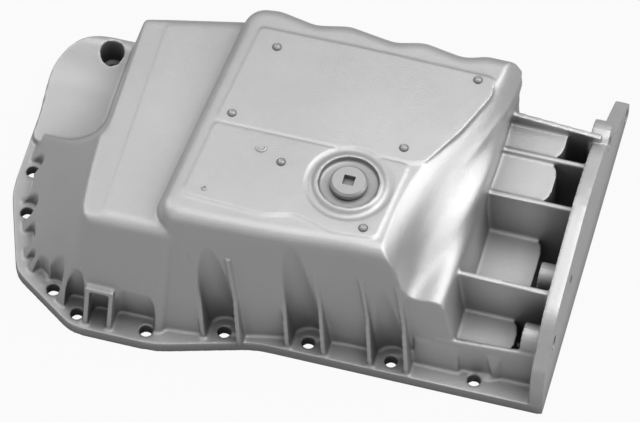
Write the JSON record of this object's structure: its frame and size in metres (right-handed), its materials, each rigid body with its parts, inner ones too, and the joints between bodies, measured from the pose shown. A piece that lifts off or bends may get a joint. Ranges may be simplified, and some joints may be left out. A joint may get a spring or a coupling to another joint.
{
  "type": "engine oil pan",
  "caption": "Die-cast aluminium engine oil pan with a stepped sump, a scooped ramp, a ribbed bell-housing end and a sealed drain plug.",
  "frame": {"origin": "middle of the bounding box, on the gasket face", "axes": "+X towards the bell-housing plate, +Z from the gasket face to the bottom of the sump, -Y the side with the straight gasket rail"},
  "size_m": [0.408, 0.286, 0.124],
  "materials": {
    "cast_aluminium": "as cast and bead-blasted, with machined joint faces",
    "plated_steel": "zinc plated",
    "copper": "annealed copper"
  },
  "bodies": {
    "root": {"oil_pan_casting": "cast_aluminium", "drain_plug": "plated_steel", "drain_plug_washer": "copper"}
  },
  "joints": []
}
